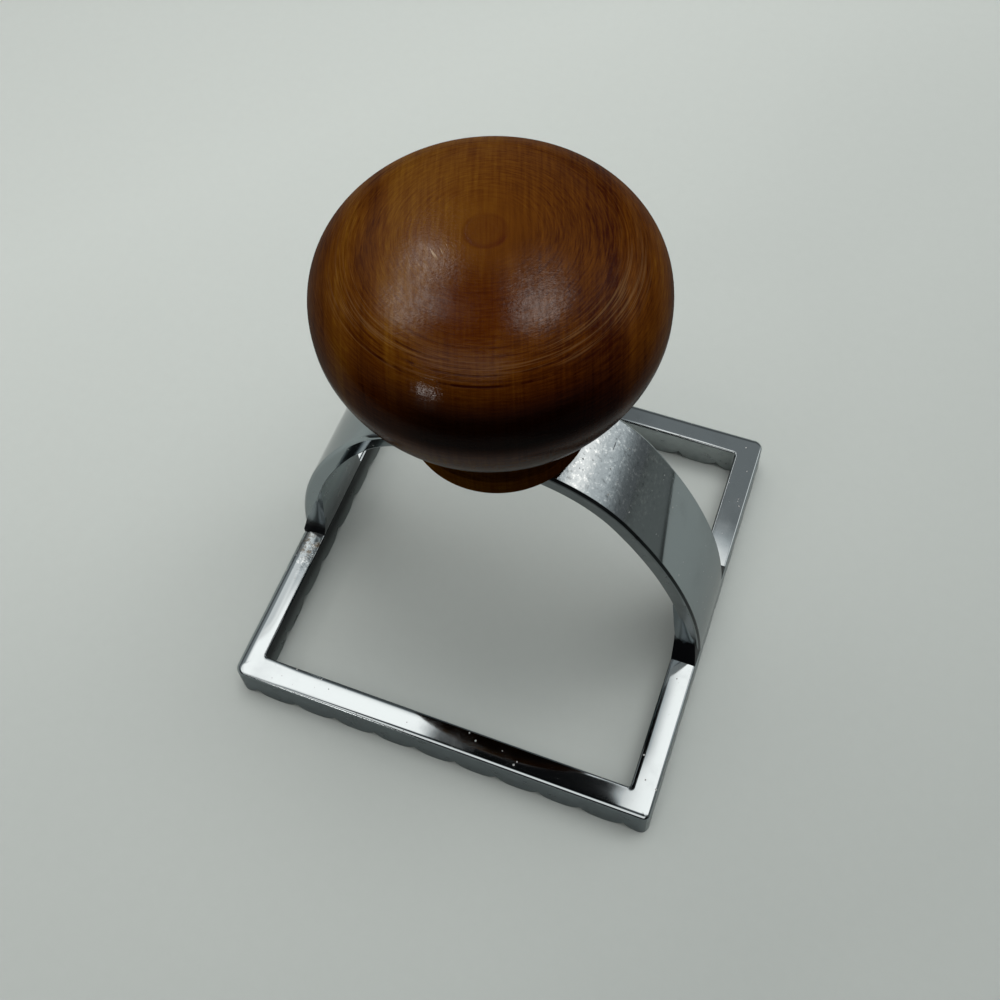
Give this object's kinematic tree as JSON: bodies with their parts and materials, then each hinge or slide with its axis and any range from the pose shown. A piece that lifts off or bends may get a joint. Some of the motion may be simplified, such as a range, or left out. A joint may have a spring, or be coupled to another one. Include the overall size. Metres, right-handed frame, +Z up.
{
  "type": "ravioli stamp",
  "caption": "Square hand stamp for cutting filled pasta: chromed frame with a scalloped lower edge, a bent strap arch brazed on two rails and a turned wooden knob on top.",
  "frame": {"origin": "on the table, under the middle of the square frame", "axes": "+Z up along the knob's axis; +X along the front rail, from the left foot of the arch to the right one; +Y to the back rail"},
  "size_m": [0.0658, 0.0658, 0.08],
  "materials": {
    "chrome": "bright chrome plating with fine scratches, dust specks and a little pitting",
    "braze": "plated braze bead, uneven, darker than the frame",
    "knob_wood": "red-brown stain under satin varnish, with turning rings",
    "screw_steel": "plain zinc-grey screw"
  },
  "bodies": {
    "root": {"cutter_frame": "chrome", "handle_arch": "chrome", "left_foot_braze": "braze", "right_foot_braze": "braze", "wood_knob": "knob_wood", "knob_screw": "screw_steel"}
  },
  "joints": []
}
